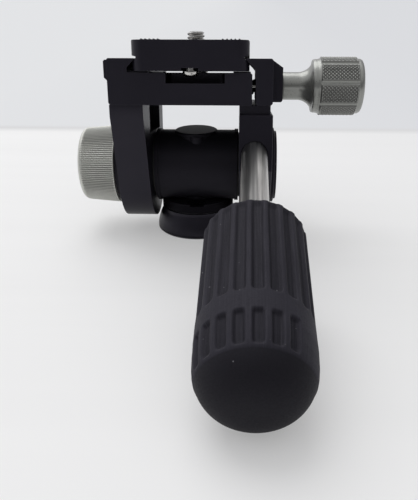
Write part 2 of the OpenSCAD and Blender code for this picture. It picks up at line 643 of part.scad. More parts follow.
// Quick-release plate
module plate_outline(inset) {
  w = plate_w / 2 - inset;
  r = plate_corner - inset;
  translate([0, plate_y]) union() {
    square([2 * w, plate_len - 2 * plate_corner], center = true);
    square([2 * (w - r), plate_len - 2 * inset], center = true);
    for (sx = [-1, 1], sy = [-1, 1])
      translate([sx * (w - r), sy * (plate_len / 2 - inset - r)]) circle(r = r);
  }
}
module plate_corner_cut(z0, z1) translate([0, 0, z0]) difference() {
  translate([-plate_w, plate_y - plate_len, 0]) cube([2 * plate_w, 2 * plate_len, z1 - z0]);
  translate([0, 0, -cut]) linear_extrude(z1 - z0 + 2 * cut) plate_outline(0);
}
module quick_release_plate() color(black) yoke_frame() difference() {
  translate([0, plate_y + plate_len / 2, 0]) rotate([90, 0, 0]) linear_extrude(plate_len) {
    w = plate_w / 2;
    polygon([[-w, plate_z], [w, plate_z], [w, plate_z + land_h], [w - waist_in, waist_z],
      [w - waist_in, slab_z - 0.4], [w, slab_z], [w, plate_top - 0.4], [w - 0.4, plate_top],
      [-w + 0.4, plate_top], [-w, plate_top - 0.4], [-w, slab_z], [-w + waist_in, slab_z - 0.4],
      [-w + waist_in, waist_z], [-w, plate_z + land_h]]);
  }
  plate_corner_cut(plate_z - cut, plate_top + cut);
  translate([0, plate_y, 0]) {
    translate([0, 0, plate_z - cut]) cylinder(d = screw_head_d + 1, h = screw_recess_t + cut);
    for (s = [-1, 1]) translate([0, s * screw_slot_len / 2, plate_z - cut])
      cylinder(d = screw_head_d + 1, h = screw_recess_t + cut);
    box([-screw_head_d / 2 - 0.5, screw_head_d / 2 + 0.5], [-screw_slot_len / 2, screw_slot_len / 2],
      [plate_z - cut, plate_z + screw_recess_t]);
    for (s = [-1, 1]) translate([0, s * screw_slot_len / 2, plate_z])
      cylinder(d = camera_screw_d + 0.4, h = plate_t + cut);
    box([-camera_screw_d / 2 - 0.2, camera_screw_d / 2 + 0.2], [-screw_slot_len / 2, screw_slot_len / 2],
      [plate_z, plate_top + cut]);
    for (s = [-1, 1]) {
      translate([s * (pad_in + pad_w / 2) - pad_w / 2, -plate_len / 2 + pad_margin, plate_top - pad_depth])
        cube([pad_w, plate_len - 2 * pad_margin, pad_depth + cut]);
      translate([0, s * (plate_len / 2 - stop_screw_in), plate_z]) {
        translate([0, 0, -cut]) cylinder(d = stop_notch_d, h = stop_notch_h + cut);
        translate([0, 0, -cut]) cylinder(d = stop_neck_d, h = stop_len + cut);
      }
    }
  }
}
module plate_pads() color(rubber) yoke_frame() for (s = [-1, 1]) {
  w = pad_w - 2 * pad_gap;
  len = plate_len - 2 * pad_margin - 2 * pad_gap;
  translate([s * (pad_in + pad_w / 2) - w / 2, plate_y - len / 2, plate_top - pad_depth]) {
    cube([w, len, pad_depth]);
    for (i = [0:ribs - 1]) translate([i * (w - rib_w) / (ribs - 1), 0, pad_depth]) cube([rib_w, len, rib_h]);
  }
}
module stop_screws() color(steel) yoke_frame() for (s = [-1, 1])
  translate([0, plate_y + s * (plate_len / 2 - stop_screw_in), plate_z]) {
    cylinder(d = stop_neck_d - 0.02, h = stop_len - 0.3);
    translate([0, 0, -stop_head_t]) cylinder(d1 = stop_head_d - 1.2, d2 = stop_head_d, h = stop_head_t / 2);
    translate([0, 0, -stop_head_t / 2]) cylinder(d = stop_head_d, h = stop_head_t / 2);
  }
module camera_screw() color(steel) yoke_frame() translate([0, plate_y, 0]) {
  difference() {
    translate([0, 0, plate_z + screw_lift]) cylinder(d = screw_head_d, h = screw_head_t);
    translate([-screw_head_d, -0.7, plate_z - cut]) cube([2 * screw_head_d, 1.4, 1.2 + cut]);
  }
  translate([0, 0, plate_z + screw_head_t]) cylinder(d = screw_shank_d, h = plate_t - screw_head_t + 1);
  translate([0, 0, plate_top + screw_lift])
    cylinder(d = camera_screw_d, h = camera_screw_out - screw_lift - 0.6);
  translate([0, 0, plate_top + camera_screw_out - 0.6])
    cylinder(d1 = camera_screw_d, d2 = camera_screw_d - 1.2, h = 0.6);
}
module screw_washer() color(plastic) yoke_frame()
  translate([0, plate_y, plate_z + screw_lift + screw_head_t + 0.02]) difference() {
    cylinder(d = screw_head_d - 3, h = screw_washer_t);
    translate([0, 0, -cut]) cylinder(d = screw_shank_d + 2 * run, h = 3 * cut);
  }

// Handle
module handle_rod() color(steel) rod_frame() {
  translate([0, 0, -rod_in]) cylinder(d = rod_thread_d, h = rod_thread_len);
  translate([0, 0, -rod_in + rod_thread_len])
    cylinder(d = rod_d, h = rod_in - rod_thread_len + rod_free + rod_in_grip);
}
module grip_core() color(dark) rod_frame() translate([0, 0, rod_free + 1]) difference() {
  cylinder(d = rod_d + 2 * core_wall, h = core_len);
  translate([0, 0, -cut]) cylinder(d = rod_d + 0.02, h = rod_in_grip - 1 + cut + 0.02);
}
function dome(t) = [grip_end_d / 2 * cos(90 * t), grip_len + dome_h * sin(90 * t)];
module grip_sleeve() color(rubber) rod_frame() translate([0, 0, rod_free]) difference() {
  rotate_extrude() polygon(concat([[0, 0], [grip_d / 2 - grip_edge, 0], [grip_d / 2, grip_edge]],
    [for (i = [0:dome_steps]) dome(i / dome_steps)]));
  translate([0, 0, -cut]) cylinder(d = rod_d + 0.02, h = 2 * cut + 0.01);
  translate([0, 0, 1]) cylinder(d = rod_d + 2 * core_wall + 0.02, h = core_len + 0.02);
  for (i = [0:flutes - 1]) rotate([0, 0, first_flute - 360 * i / flutes]) {
    translate([grip_d / 2 + flute_r - flute_depth, 0, -cut]) cylinder(r = flute_r, h = band_z0 + cut);
    if (i < bare_first || i > bare_last) translate([grip_end_d / 2 + flute_r - flute_depth, 0, band_z1])
      cylinder(r = flute_r, h = groove_len);
  }
}

base_disc();
pan_spindle();
spindle_lock_screw();
pan_friction_washer();
drum_housing();
pan_bush();
pan_drag_pad();
pan_drag_screw();
drum_cap();
tilt_bushes();
tilt_axle();
tilt_friction_washers();
left_arm();
right_arm();
arm_screws();
end_cap();
end_cap_screw();
knob_seat_ring();
spring_washers();
thrust_washer();
tilt_lock_knob();
tilt_knob_insert();
tilt_knob_cap();
clamp_body();
guide_pins();
jaw_springs();
clamp_jaw();
clamp_screw();
clamp_screw_stop();
clamp_knob();
clamp_knob_cap();
knob_washer();
quick_release_plate();
plate_pads();
stop_screws();
camera_screw();
screw_washer();
handle_rod();
grip_core();
grip_sleeve();
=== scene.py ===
"""The looks of the two-way panning head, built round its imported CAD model."""
import json
import math

import bmesh
import bpy
from mathutils import Matrix, Vector


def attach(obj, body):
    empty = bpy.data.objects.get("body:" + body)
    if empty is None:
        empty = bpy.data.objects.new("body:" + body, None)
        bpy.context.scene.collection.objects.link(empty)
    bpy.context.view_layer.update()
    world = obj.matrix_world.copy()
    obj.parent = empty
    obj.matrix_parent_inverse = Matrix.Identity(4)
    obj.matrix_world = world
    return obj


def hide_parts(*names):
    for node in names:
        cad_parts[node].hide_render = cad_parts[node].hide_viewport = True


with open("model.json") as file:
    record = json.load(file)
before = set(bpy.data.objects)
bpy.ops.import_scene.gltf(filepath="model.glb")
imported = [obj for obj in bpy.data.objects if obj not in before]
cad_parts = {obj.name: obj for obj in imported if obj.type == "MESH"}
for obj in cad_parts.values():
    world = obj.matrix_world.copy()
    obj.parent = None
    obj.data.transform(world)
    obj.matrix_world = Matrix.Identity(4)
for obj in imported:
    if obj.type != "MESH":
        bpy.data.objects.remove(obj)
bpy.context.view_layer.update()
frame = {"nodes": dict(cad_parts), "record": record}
NODES = frame["nodes"]
RECORD = frame["record"]
MM = 0.001
TAU = 2 * math.pi

# Driving sizes, the same as in the part's source, in mm and degrees
REST_TILT = 7.7
AXLE_H = 25.3
DRUM_SHIFT = 0.6
ARM_OUT = 27.6
PLATFORM_LEN = 46.6
PLATFORM_Y = -4.1
PLATFORM_Z = 23.95
SEAT_RING_T = 2.6
LOCK_LEN = 13.8
LOCK_R = 14.4
STEM_X = 31.2
STEM_LEN = 7.3
STEM_R = 4.75
FLARE_LEN = 5.1
COLLAR_LEN = 2.5
KNOB_LEN = 12.2
KNOB_R = 10.4
KNOB_CAP_T = 2
PLATE_LEN = 50
PLATE_Z = 34.8
PLATE_T = 9.7
SCREW_R = 3.175
STOP_IN = 3.4
PAD_IN = 10.3
PAD_W = 6.2
PAD_MARGIN = 3
PAD_GAP = 0.02
PAD_DEPTH = 0.8
RIBS = 5
ROD_X = 21.5
ROD_R = 4.45
ROD_EXIT_Z = 7.8
ROD_ANGLE = 22.2
ROD_FREE = 47.7
GRIP_LEN = 43.5
FLUTES = 21
FIRST_FLUTE = 88.1

# Sizes worked out from those
FRONT_Y = PLATFORM_Y - PLATFORM_LEN / 2
LOCK_IN = ARM_OUT + SEAT_RING_T + 0.2
SCREW_Y = PLATFORM_Y
SCREW_Z = PLATFORM_Z + 5.8
FLARE_X = STEM_X + STEM_LEN
COLLAR_X = FLARE_X + FLARE_LEN
COLLAR_R = KNOB_R - 1.1
GRIP_X = COLLAR_X + COLLAR_LEN
CAP_X = GRIP_X + KNOB_LEN
KNOB_END_X = CAP_X + KNOB_CAP_T
PLATE_Y = FRONT_Y - 1 + PLATE_LEN / 2
PLATE_TOP = PLATE_Z + PLATE_T

# Frames that the pieces are built in, in mm: a turned piece lies along the Z axis of its frame
YOKE = Matrix.Translation((DRUM_SHIFT, 0, AXLE_H)) @ Matrix.Rotation(math.radians(-REST_TILT), 4, "X")
OUT_LEFT = YOKE @ Matrix.Rotation(math.radians(-90), 4, "Y")
OUT_RIGHT = YOKE @ Matrix.Translation((0, SCREW_Y, SCREW_Z)) @ Matrix.Rotation(math.radians(90), 4, "Y")
PLATE = YOKE @ Matrix.Translation((0, PLATE_Y, 0))
ROD = (YOKE @ Matrix.Translation((ROD_X, FRONT_Y, ROD_EXIT_Z))
       @ Matrix.Rotation(math.radians(90 + ROD_ANGLE), 4, "X"))
GRIP = ROD @ Matrix.Translation((0, 0, ROD_FREE))

# Camera, fitted to the photo's edges; the values that end in PX and the frame are in pixels
FRAME_W = 418
FRAME_H = 500
CENTRE_PX = 232
FOCAL_PX = 558.0
SENSOR = 36
PITCH = 25.4
YAW = 1.7
CAMERA_PLACE = (0.0200, -0.2122, 0.08895)
cam_data = bpy.data.cameras.new("camera")
cam = bpy.data.objects.new("camera", cam_data)
bpy.context.scene.collection.objects.link(cam)
cam_data.sensor_width = SENSOR
cam_data.lens = FOCAL_PX * SENSOR / FRAME_H
cam_data.shift_x = -(CENTRE_PX - FRAME_W / 2) / FRAME_H
cam_data.clip_start = 0.01
cam_data.clip_end = 20
cam.location = CAMERA_PLACE
cam.rotation_euler = (math.radians(90 - PITCH), 0, math.radians(YAW))
bpy.context.scene.camera = cam


# Shader helpers, and the numbers of a Mix node's colour sockets
MIX_A = 6
MIX_B = 7
MIX_RESULT = 2


def new_material(name):
    m = bpy.data.materials.new(name)
    m.use_nodes = True
    tree = m.node_tree
    shader = tree.nodes["Principled BSDF"]
    return m, tree, shader


def add(tree, kind, **values):
    """A new node: a value goes to the input of its name, or else to the node's own setting."""
    node = tree.nodes.new(kind)
    for key, value in values.items():
        if key in node.inputs:
            node.inputs[key].default_value = value
        else:
            setattr(node, key, value)
    return node


def noise(tree, coord, scale, detail=3.0, rough=0.5):
    n = add(tree, "ShaderNodeTexNoise", Scale=scale, Detail=detail, Roughness=rough)
    tree.links.new(coord, n.inputs["Vector"])
    return n.outputs["Fac"]


def ramp(tree, fac, low, high, a, b):
    """a where fac is low, b where it is high, even between them and held beyond them."""
    r = add(tree, "ShaderNodeMapRange")
    r.inputs["From Min"].default_value = low
    r.inputs["From Max"].default_value = high
    r.inputs["To Min"].default_value = a
    r.inputs["To Max"].default_value = b
    tree.links.new(fac, r.inputs["Value"])
    return r.outputs["Result"]


def mix_colour(tree, fac, a, b):
    """a where fac is 0, b where it is 1."""
    m = add(tree, "ShaderNodeMix", data_type="RGBA")
    for socket, value in ((m.inputs[MIX_A], a), (m.inputs[MIX_B], b)):
        if isinstance(value, bpy.types.NodeSocket):
            tree.links.new(value, socket)
        else:
            socket.default_value = (*value, 1)
    tree.links.new(fac, m.inputs[0])
    return m.outputs[MIX_RESULT]


def product(tree, a, b):
    both = add(tree, "ShaderNodeMath", operation="MULTIPLY")
    tree.links.new(a, both.inputs[0])
    tree.links.new(b, both.inputs[1])
    return both.outputs[0]


def stretched(tree, vector, scale):
    mapping = add(tree, "ShaderNodeMapping", Scale=scale)
    tree.links.new(vector, mapping.inputs["Vector"])
    return mapping.outputs["Vector"]


def axis_value(tree, vector, axis):
    split = add(tree, "ShaderNodeSeparateXYZ")
    tree.links.new(vector, split.inputs[0])
    return split.outputs[axis]


def bump(tree, height, strength, distance):
    b = add(tree, "ShaderNodeBump", Strength=strength, Distance=distance)
    tree.links.new(height, b.inputs["Height"])
    return b.outputs["Normal"]


def turn_map(tree):
    """The map of a turned piece: X is metres along its axis, Y the turn round it."""
    return add(tree, "ShaderNodeUVMap", uv_map="turn").outputs["UV"]


def relief_depth(tree):
    """How far a turned piece's relief lies under its profile, in mm, less than 0 where it stands proud."""
    return add(tree, "ShaderNodeAttribute", attribute_name="sunk").outputs["Fac"]


def sunken(tree, deep):
    """0 on the profile of a turned piece, 1 where its relief is deep mm down."""
    return ramp(tree, relief_depth(tree), 0.0, deep, 0.0, 1.0)


def between(tree, rise, full, fall, end):
    """1 where the relief's depth lies from full to fall mm, 0 below rise and above end."""
    depth = relief_depth(tree)
    return product(tree, ramp(tree, depth, rise, full, 0.0, 1.0), ramp(tree, depth, fall, end, 1.0, 0.0))


def along(tree, start, end):
    """0 before start and 1 after end, in metres along the axis of a turned piece."""
    return ramp(tree, axis_value(tree, turn_map(tree), "X"), start, end, 0.0, 1.0)


def edge_mask(tree, radius, low, high):
    """1 on sharp edges, 0 on flat and gently curved surfaces."""
    bevel = add(tree, "ShaderNodeBevel", samples=6, Radius=radius)
    geometry = add(tree, "ShaderNodeNewGeometry")
    dot = add(tree, "ShaderNodeVectorMath", operation="DOT_PRODUCT")
    tree.links.new(bevel.outputs[0], dot.inputs[0])
    tree.links.new(geometry.outputs["Normal"], dot.inputs[1])
    return ramp(tree, dot.outputs["Value"], low, high, 1.0, 0.0)


def cloudy(tree, coord, scale, detail, a, b):
    """Soft patches of a and b."""
    return mix_colour(tree, ramp(tree, noise(tree, coord, scale, detail), 0.35, 0.65, 0.0, 1.0), a, b)


# Materials, with heights and places along an axis in metres
# Painted shade at a material's foot: how far it fades in, and its lower specular
FOOT_SHADE_FADE = 0.0015
FOOT_SHADE_SPECULAR = 0.06


def blasted_metal(name, dark, light, metallic, rough, specular, grain=3500.0, edge_wear_and_highlight=None, hollow_shade=None,
                  hollow_shade_depths=None, low=None, tint=(1.0, 1.0, 1.0)):
    """Bead-blasted and anodised alloy, with a fine grain and faint clouds.

    The edge colour goes on sharp edges, partly rubbed wear and partly a painted highlight. The hollow
    colour is painted shade down in the relief, or only at the given depths passed to between. low is a
    height in metres and the tone under it, painted shade.
    """
    m, tree, shader = new_material(name)
    coord = add(tree, "ShaderNodeTexCoord").outputs["Object"]
    fine = noise(tree, coord, grain, 2.0)
    colour = cloudy(tree, coord, 60.0, 4.0, dark, light)
    shader.inputs["Specular IOR Level"].default_value = specular
    # Lighter sharp edges: partly rubbed wear, partly a painted highlight
    if edge_wear_and_highlight is not None:
        colour = mix_colour(tree, edge_mask(tree, 0.00025, 0.86, 0.99), colour, edge_wear_and_highlight)
    # Painted shade down in the relief's hollows
    if hollow_shade is not None:
        hollow_shade_mask = between(tree, *hollow_shade_depths) if hollow_shade_depths else sunken(tree, 0.3)
        colour = mix_colour(tree, hollow_shade_mask, colour, hollow_shade)
    # Painted shade at the foot: a darker tone and less specular under the given height
    if low is not None:
        height, tone = low
        foot_shade_mask = ramp(tree, axis_value(tree, coord, "Z"), height, height + FOOT_SHADE_FADE, 1.0, 0.0)
        colour = mix_colour(tree, foot_shade_mask, colour, tone)
        shine = ramp(tree, foot_shade_mask, 0.0, 1.0, specular, FOOT_SHADE_SPECULAR)
        tree.links.new(shine, shader.inputs["Specular IOR Level"])
    tree.links.new(colour, shader.inputs["Base Color"])
    tree.links.new(ramp(tree, fine, 0.3, 0.7, rough - 0.05, rough + 0.05), shader.inputs["Roughness"])
    tree.links.new(bump(tree, fine, 0.35, 0.02 * MM), shader.inputs["Normal"])
    shader.inputs["Metallic"].default_value = metallic
    shader.inputs["Specular Tint"].default_value = (*tint, 1.0)
    return m


def turned_steel(name, colour, rough, streak, axis_scale=(1.0, 1.0, 0.02)):
    """Bright steel with fine marks drawn out along the axis that axis_scale flattens."""
    m, tree, shader = new_material(name)
    coord = add(tree, "ShaderNodeTexCoord").outputs["Object"]
    lines = noise(tree, stretched(tree, coord, axis_scale), 1800.0, 3.0)
    smeared = cloudy(tree, coord, 150.0, 3.0, [c * 0.88 for c in colour], colour)
    tree.links.new(smeared, shader.inputs["Base Color"])
    tree.links.new(ramp(tree, lines, 0.3, 0.7, rough * 0.7, rough * 1.4), shader.inputs["Roughness"])
    tree.links.new(bump(tree, lines, streak, 0.004 * MM), shader.inputs["Normal"])
    shader.inputs["Metallic"].default_value = 1.0
    return m


# Painted reflections on the rod: its tones by the turn round it, from 0 for the dark tone to 1 for the
# light one
ROD_REFLECTION_BANDS = ((0.0, 0.5), (0.13, 0.9), (0.175, 1.0), (0.205, 0.9), (0.23, 0.25), (0.265, 0.09), (0.295, 0.2),
             (0.315, 0.09), (0.345, 0.13), (0.38, 0.45), (0.43, 1.0), (0.5, 0.5))
# Painted shade on the rod's root, by the arm: its length and its two tones
ROD_ROOT_SHADE_LEN = 0.016
ROD_ROOT_SHADE_DARK = (0.06, 0.06, 0.065)
ROD_ROOT_SHADE_LIGHT = (0.16, 0.16, 0.165)


def drawn_rod(name, dark, light, rough):
    """A ground rod whose colour holds painted reflections, tones by the turn round it and streaks along it,
    and painted shade at its root.
    """
    m, tree, shader = new_material(name)
    where = turn_map(tree)
    streaks = noise(tree, stretched(tree, where, (25.0, 26.0, 1.0)), 1.0, 5.0, 0.62)
    # Painted reflections: tones by the turn round the rod
    reflection_bands = add(tree, "ShaderNodeValToRGB")
    while len(reflection_bands.color_ramp.elements) < len(ROD_REFLECTION_BANDS):
        reflection_bands.color_ramp.elements.new(0.5)
    for element, (turn, shade) in zip(reflection_bands.color_ramp.elements, ROD_REFLECTION_BANDS):
        element.position = turn
        element.color = (shade, shade, shade, 1.0)
    tree.links.new(axis_value(tree, where, "Y"), reflection_bands.inputs["Fac"])
    colour = mix_colour(tree, reflection_bands.outputs["Color"], dark, light)
    # Painted reflection: dark streaks drawn out along the rod
    colour = mix_colour(tree, ramp(tree, streaks, 0.42, 0.62, 0.0, 0.5), colour, dark)
    # Painted shade near the root, where the rod leaves the arm
    root_shade = mix_colour(tree, ramp(tree, streaks, 0.4, 0.6, 0.0, 1.0), ROD_ROOT_SHADE_DARK, ROD_ROOT_SHADE_LIGHT)
    colour = mix_colour(tree, along(tree, 0.0, ROD_ROOT_SHADE_LEN), root_shade, colour)
    tree.links.new(colour, shader.inputs["Base Color"])
    tree.links.new(ramp(tree, streaks, 0.3, 0.7, rough + 0.06, rough - 0.06), shader.inputs["Roughness"])
    tangent = add(tree, "ShaderNodeTangent", direction_type="UV_MAP", uv_map="turn")
    tree.links.new(tangent.outputs["Tangent"], shader.inputs["Tangent"])
    shader.inputs["Anisotropic"].default_value = 0.7
    shader.inputs["Metallic"].default_value = 1.0
    return m


DUST = (0.16, 0.16, 0.17)
TIP_FADE = 0.0004


def dust_specks(tree, coord):
    """1 on small dots, in some places only."""
    cells = add(tree, "ShaderNodeTexVoronoi", Scale=520.0)
    tree.links.new(coord, cells.inputs["Vector"])
    dot = ramp(tree, cells.outputs["Distance"], 0.05, 0.11, 1.0, 0.0)
    few = ramp(tree, noise(tree, coord, 330.0, 1.0), 0.6, 0.64, 0.0, 1.0)
    return product(tree, dot, few)


def moulded(name, dark, light, rough, grain, depth, specular=0.5, specks=False, worn_edge_and_highlight=None,
            valley_shade=None, tip=None, streaks=None, tint=(1.0, 1.0, 1.0)):
    """Moulded rubber or plastic with a fine grain.

    The worn colour goes on the edges, partly wear and partly a painted highlight; the valley colour is
    painted shade at the relief's bottom; streaks is the colour of fine lines.
    specks adds dust. tip is a place along the axis, in metres, and the tone beyond it.
    """
    m, tree, shader = new_material(name)
    coord = add(tree, "ShaderNodeTexCoord").outputs["Object"]
    fine = noise(tree, coord, grain, 2.0)
    colour = cloudy(tree, coord, 90.0, 4.0, dark, light)
    # Lighter edges: partly wear, partly a painted highlight
    if worn_edge_and_highlight is not None:
        colour = mix_colour(tree, edge_mask(tree, 0.0006, 0.9, 0.995), colour, worn_edge_and_highlight)
    # Painted shade in the bottom of the relief
    if valley_shade is not None:
        colour = mix_colour(tree, sunken(tree, 0.7), colour, valley_shade)
    if streaks is not None:
        lines = noise(tree, stretched(tree, turn_map(tree), (60.0, 190.0, 1.0)), 1.0, 3.0, 0.6)
        colour = mix_colour(tree, ramp(tree, lines, 0.45, 0.75, 0.0, 0.6), colour, streaks)
    if tip is not None:
        start, tone = tip
        colour = mix_colour(tree, along(tree, start, start + TIP_FADE), colour, tone)
    if specks:
        colour = mix_colour(tree, dust_specks(tree, coord), colour, DUST)
    tree.links.new(colour, shader.inputs["Base Color"])
    tree.links.new(ramp(tree, fine, 0.3, 0.7, rough - 0.06, rough + 0.06), shader.inputs["Roughness"])
    tree.links.new(bump(tree, fine, 0.4, depth * MM), shader.inputs["Normal"])
    shader.inputs["Specular IOR Level"].default_value = specular
    shader.inputs["Specular Tint"].default_value = (*tint, 1.0)
    return m


VIOLET = (0.87, 0.83, 1.0)
ROUND_DARK = (0.0128, 0.0121, 0.0155)
ROUND_LIGHT = (0.0155, 0.0147, 0.0188)
# The painted shade on the housing's foot, under the drum: its height and tone
FOOT_H = 0.0130
FOOT_SHADE_TONE = (0.0050, 0.0046, 0.0062)
DOME_FOOT = 0.04785
DOME_TONE = (0.0100, 0.0097, 0.0120)
# Black anodising; its lighter edges are partly wear and partly a painted highlight
BLACK = blasted_metal("black_anodised", (0.0080, 0.0073, 0.0112), (0.0102, 0.0093, 0.0138), 0.0, 0.4, 0.33,
                      edge_wear_and_highlight=(0.034, 0.034, 0.040), tint=VIOLET)
BLACK_ROUND = blasted_metal("black_anodised_round", ROUND_DARK, ROUND_LIGHT, 0.0, 0.5, 0.17, tint=VIOLET)
# The housing's black, with painted shade on its foot under the drum
HOUSING = blasted_metal("black_anodised_housing_shaded_foot", ROUND_DARK, ROUND_LIGHT, 0.0, 0.5, 0.17,
                        low=(FOOT_H, FOOT_SHADE_TONE), tint=VIOLET)
# Grey alloy for the clamp knob: lighter edges, partly wear and partly a painted highlight, and painted
# shade in its diamonds and along its panels' sides
GREY = blasted_metal("grey_alloy", (0.295, 0.30, 0.282), (0.33, 0.335, 0.316), 0.7, 0.32, 0.4, grain=2600.0,
                     edge_wear_and_highlight=(0.46, 0.46, 0.44), hollow_shade=(0.12, 0.121, 0.114),
                     hollow_shade_depths=(-0.66, -0.42, -0.37, -0.3))
# A lighter, less metallic copy of the grey alloy for the tilt knob: partly its own finish, partly painted
# light for the light it gets from the left and the table; painted shade in the knurl's valleys
GREY_RIBBED = blasted_metal("grey_alloy_ribbed", (0.60, 0.605, 0.56), (0.66, 0.665, 0.62), 0.45, 0.42, 0.4,
                            grain=2600.0, hollow_shade=(0.20, 0.20, 0.185))
STEEL = turned_steel("steel", (0.62, 0.61, 0.59), 0.22, 0.2, (1.0, 1.0, 1.0))
# The rod's dark and light tones, between which its painted reflections run
POLISHED = drawn_rod("polished_steel", (0.05, 0.05, 0.052), (1.0, 0.975, 0.94), 0.34)
DARK_STEEL = turned_steel("black_steel", (0.035, 0.035, 0.04), 0.35, 0.2)
BRASS = turned_steel("brass", (0.66, 0.47, 0.2), 0.3, 0.25, (1.0, 1.0, 1.0))
NYLON = moulded("nylon", (0.66, 0.66, 0.63), (0.74, 0.74, 0.71), 0.45, 1500.0, 0.01)
PLASTIC = moulded("black_plastic", (0.009, 0.009, 0.010), (0.012, 0.012, 0.013), 0.45, 2200.0, 0.015,
                  0.3)
DARK_NYLON = moulded("dark_nylon", (0.020, 0.020, 0.022), (0.026, 0.026, 0.028), 0.5, 1500.0, 0.01)
# Rubber, with lighter edges (partly wear, partly a painted highlight) and painted shade in its grooves
RUBBER = moulded("rubber", (0.0190, 0.0182, 0.0235), (0.0255, 0.0245, 0.0312), 0.68, 2400.0, 0.03, 0.2,
                 specks=True, worn_edge_and_highlight=(0.042, 0.041, 0.049), valley_shade=(0.0130, 0.0125, 0.0160),
                 tip=(DOME_FOOT, DOME_TONE), streaks=(0.034, 0.0325, 0.0410), tint=VIOLET)
BY_SLOT = {"black_anodised": BLACK, "grey_alloy": GREY, "steel": STEEL, "polished_steel": POLISHED,
           "black_steel": DARK_STEEL, "brass": BRASS, "nylon": NYLON, "black_plastic": PLASTIC,
           "rubber": RUBBER}
SLOT_OF = {s["node"]: s["material_slot"] for s in RECORD["subparts"]}
DARK_WASHERS = ("pan_friction_washer", "tilt_friction_washers")
for node, obj in NODES.items():
    obj.data.materials.clear()
    obj.data.materials.append(DARK_NYLON if node in DARK_WASHERS else BY_SLOT[SLOT_OF[node]])


# Mesh helpers
def body_of(node):
    return next(b for b, names in RECORD["behaviour"]["bodies"].items() if node in names)


def finish_piece(name, mesh, node, material, smooth, replaced=None):
    """Makes the piece for a node: same body, the given material, smooth up to an angle."""
    mesh.validate()
    mesh.shade_smooth()
    mesh.set_sharp_from_angle(angle=math.radians(smooth))
    obj = bpy.data.objects.new(name, mesh)
    bpy.context.scene.collection.objects.link(obj)
    mesh.materials.clear()
    mesh.materials.append(material)
    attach(obj, body_of(node))
    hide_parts(*(replaced or [node]))
    return obj


def mesh_from(name, points, faces, matrix):
    """A mesh of points in the matrix's frame, in mm, with its faces turned outward."""
    mesh = bpy.data.meshes.new(name)
    mesh.from_pydata([tuple((matrix @ Vector(p)) * MM) for p in points], [], faces)
    mesh.update()
    bm = bmesh.new()
    bm.from_mesh(mesh)
    bmesh.ops.recalc_face_normals(bm, faces=bm.faces)
    bm.to_mesh(mesh)
    bm.free()
    return mesh


def joined(name, meshes):
    mesh = bpy.data.meshes.new(name)
    bm = bmesh.new()
    for part in meshes:
        bm.from_mesh(part)
    bm.to_mesh(mesh)
    bm.free()
    return mesh


def turned(name, profile, count, matrix, relief=None):
    """A closed surface turned round local Z through profile points (z, r).

    relief(z, r, angle) gives a new r. The map called turn holds the distance along the axis in metres and
    the turn, and the attribute called sunk holds how deep a point lies under the profile.
    """
    points, rings, sunk = [], [], []
    for z, r in profile:
        if r <= 0:
            rings.append([len(points)])
            points.append((0, 0, z))
            sunk.append(0.0)
            continue
        ring = []
        for j in range(count):
            a = TAU * j / count
            rr = relief(z, r, a) if relief else r
            ring.append(len(points))
            points.append((rr * math.cos(a), rr * math.sin(a), z))
            sunk.append(r - rr)
        rings.append(ring)
    faces = []
    for lower, upper in zip(rings, rings[1:]):
        for j in range(count):
            k = (j + 1) % count
            if len(lower) == 1:
                faces.append((lower[0], upper[k], upper[j]))
            elif len(upper) == 1:
                faces.append((lower[j], lower[k], upper[0]))
            else:
                faces.append((lower[j], lower[k], upper[k], upper[j]))
    if len(rings[0]) > 1:
        faces.append(tuple(reversed(rings[0])))
    if len(rings[-1]) > 1:
        faces.append(tuple(rings[-1]))
    mesh = mesh_from(name, points, faces, matrix)
    mesh.attributes.new("sunk", "FLOAT", "POINT").data.foreach_set("value", sunk)
    wrap = mesh.uv_layers.new(name="turn")
    inverse = matrix.inverted()
    local = [inverse @ (v.co / MM) for v in mesh.vertices]
    for loop in mesh.loops:
        p = local[loop.vertex_index]
        wrap.data[loop.index].uv = (p.z * MM, math.atan2(p.y, p.x) / TAU)
    return mesh


def spans(points, step):
    """Profile points with more put in between, no further apart than step."""
    out = [points[0]]
    for (z0, r0), (z1, r1) in zip(points, points[1:]):
        n = max(1, math.ceil(math.hypot(z1 - z0, r1 - r0) / step))
        out += [(z0 + (z1 - z0) * i / n, r0 + (r1 - r0) * i / n) for i in range(1, n + 1)]
    return out


def smoothstep(x):
    x = min(1.0, max(0.0, x))
    return x * x * (3 - 2 * x)


# CAD bodies with broken edges
EDGE_ANGLE = 30
EDGE_SEGMENTS = 3
WELD = 2e-6
FLAT_ANGLE = 0.6


def bevelled(node, width, material):
    """A copy of a CAD node with its facets merged and its sharp edges broken."""
    mesh = NODES[node].data.copy()
    mesh.name = node + "_edges"
    bm = bmesh.new()
    bm.from_mesh(mesh)
    bmesh.ops.remove_doubles(bm, verts=bm.verts, dist=WELD)
    bmesh.ops.dissolve_limit(bm, angle_limit=math.radians(FLAT_ANGLE), verts=bm.verts, edges=bm.edges,
                             use_dissolve_boundaries=False)
    bm.to_mesh(mesh)
    bm.free()
    if mesh.has_custom_normals:
        mesh.attributes.remove(mesh.attributes["custom_normal"])
    obj = finish_piece(node + "_edges", mesh, node, material, EDGE_ANGLE)
    mod = obj.modifiers.new("bevel", "BEVEL")
    mod.width = width * MM
    mod.segments = EDGE_SEGMENTS
    mod.limit_method = "ANGLE"
    mod.angle_limit = math.radians(EDGE_ANGLE)
    mod.harden_normals = True
    mod.use_clamp_overlap = True


